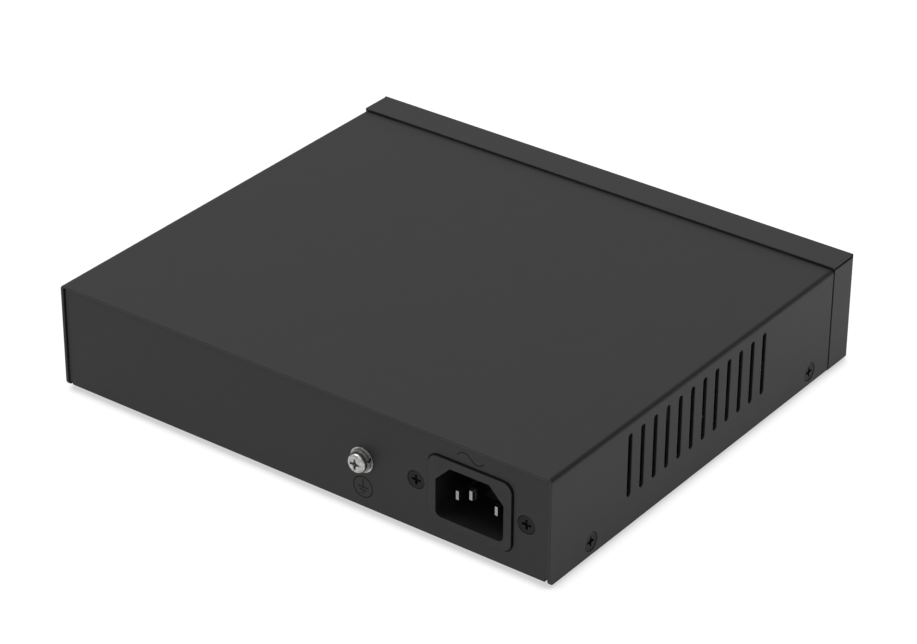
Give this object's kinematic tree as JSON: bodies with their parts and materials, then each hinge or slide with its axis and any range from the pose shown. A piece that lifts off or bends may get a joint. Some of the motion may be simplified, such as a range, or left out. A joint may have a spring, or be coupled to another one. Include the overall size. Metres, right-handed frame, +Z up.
{
  "type": "desktop network switch",
  "caption": "Low black steel box with vented sides, a row of network jacks in its front bezel, and a mains inlet and ground screw on the rear panel.",
  "frame": {"origin": "centre of the bounding box in plan, on the surface that the feet stand on", "axes": "+X to the right seen from the front, where the jacks are; +Y from the front to the rear; +Z up"},
  "size_m": [0.1864, 0.1692, 0.0385],
  "materials": {
    "cover_paint": "satin black powder coat",
    "tray_paint": "satin black powder coat",
    "bezel_paint": "satin black powder coat",
    "black_screw": "black zinc plated",
    "foot_rubber": "matt",
    "inlet_plastic": "moulded, fine texture",
    "blade_nickel": "nickel plated brass",
    "bright_nickel": "bright nickel plated steel",
    "spring_steel": "zinc plated spring steel",
    "zinc_steel": "zinc plated",
    "green_board": "glass epoxy laminate with green solder mask",
    "tan_board": "paper laminate",
    "insulating_film": "translucent film",
    "jack_plastic": "moulded",
    "jack_shield_steel": "nickel plated sheet",
    "contact_gold": "gold plated",
    "black_plastic": "moulded",
    "lens_plastic": "diffused clear",
    "chip_epoxy": "moulded epoxy",
    "black_aluminium": "black anodised",
    "bare_aluminium": "extruded",
    "capacitor_sleeve": "printed sleeve over can, left plain",
    "ferrite": "sintered",
    "winding_tape": "polyester tape over copper",
    "copper_winding": "enamelled copper",
    "fuse_ceramic": "glazed",
    "film_capacitor": "moulded",
    "brown_wire": "vinyl insulation",
    "green_wire": "vinyl insulation",
    "red_wire": "vinyl insulation",
    "header_nylon": "moulded nylon"
  },
  "bodies": {
    "switch_case": {"top_cover": "cover_paint", "base_tray": "tray_paint", "front_bezel": "bezel_paint", "cover_screws": "black_screw", "rubber_feet": "foot_rubber", "inlet_body": "inlet_plastic", "inlet_live_blades": "blade_nickel", "inlet_earth_blade": "blade_nickel", "inlet_screws": "black_screw", "inlet_nuts": "zinc_steel", "ground_nut": "zinc_steel", "main_board": "green_board", "power_board": "tan_board", "board_standoffs": "zinc_steel", "board_screws": "zinc_steel", "insulating_sheet": "insulating_film", "gang_housing": "jack_plastic", "uplink_housing": "jack_plastic", "gang_shield": "jack_shield_steel", "uplink_shield": "jack_shield_steel", "jack_contacts": "contact_gold", "light_holder": "black_plastic", "light_lenses": "lens_plastic", "switch_chip": "chip_epoxy", "chip_heatsink": "black_aluminium", "magnetics_modules": "chip_epoxy", "port_power_chips": "chip_epoxy", "board_capacitors": "capacitor_sleeve", "clock_crystal": "zinc_steel", "flash_chip": "chip_epoxy", "power_inductors": "ferrite", "power_transformer": "winding_tape", "transformer_core": "ferrite", "bulk_capacitor": "capacitor_sleeve", "line_choke": "copper_winding", "line_fuse": "fuse_ceramic", "line_capacitor": "film_capacitor", "bridge_rectifier": "chip_epoxy", "switching_transistor": "chip_epoxy", "primary_heatsink": "bare_aluminium", "output_diode": "chip_epoxy", "output_heatsink": "bare_aluminium", "output_capacitors": "capacitor_sleeve", "inlet_wires": "brown_wire", "earth_lead": "green_wire", "power_cable": "red_wire", "cable_headers": "header_nylon"},
    "ground_washers": {"ground_lock_washer": "spring_steel", "ground_flat_washer": "bright_nickel"},
    "ground_screw": {"ground_screw": "bright_nickel"}
  },
  "joints": [
    {"name": "ground_screw_lift", "type": "slide", "parent": "switch_case", "child": "ground_washers", "axis": [0, 1, 0], "range_m": [0, 0.0028]},
    {"name": "ground_screw_turn", "type": "hinge", "parent": "ground_washers", "child": "ground_screw", "pos_m": [-0.025, 0.0807, 0.0186], "axis": [0, 1, 0], "range_deg": [0, 1440]}
  ],
  "couplings": [
    {"joint": "ground_screw_turn", "follows": "ground_screw_lift", "rad_per_m": 8976}
  ]
}
